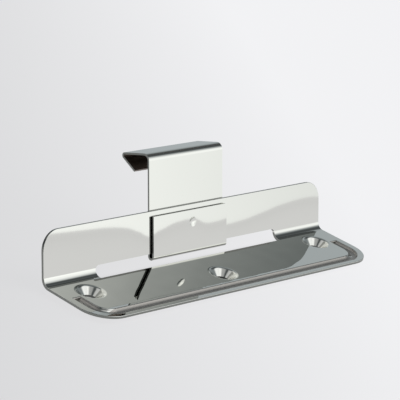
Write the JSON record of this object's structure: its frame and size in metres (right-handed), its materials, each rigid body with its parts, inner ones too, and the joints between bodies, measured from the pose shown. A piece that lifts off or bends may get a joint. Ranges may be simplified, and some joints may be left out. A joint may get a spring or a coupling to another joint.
{
  "type": "mirror clip",
  "caption": "Folded steel mirror clip: a dimpled, beaded base plate with a leaning slotted flange, and a sliding folded strip whose hook grips the edge of a mirror.",
  "frame": {"origin": "on the seating plane under the dimples, midway between the two outer screw holes", "axes": "+X along the bracket, +Z off the seating plane, -Y towards the plate's free front edge; the flange stands at +Y and leans back"},
  "size_m": [0.12, 0.0445, 0.0336],
  "materials": {
    "bracket_steel": "polished",
    "clip_steel": "polished"
  },
  "bodies": {
    "bracket": {"bracket": "bracket_steel"},
    "clip": {"sliding_clip": "clip_steel"}
  },
  "joints": [
    {"name": "clip_slide", "type": "slide", "parent": "bracket", "child": "clip", "axis": [1, 0, 0], "range_m": [-0.023, 0.023]}
  ]
}
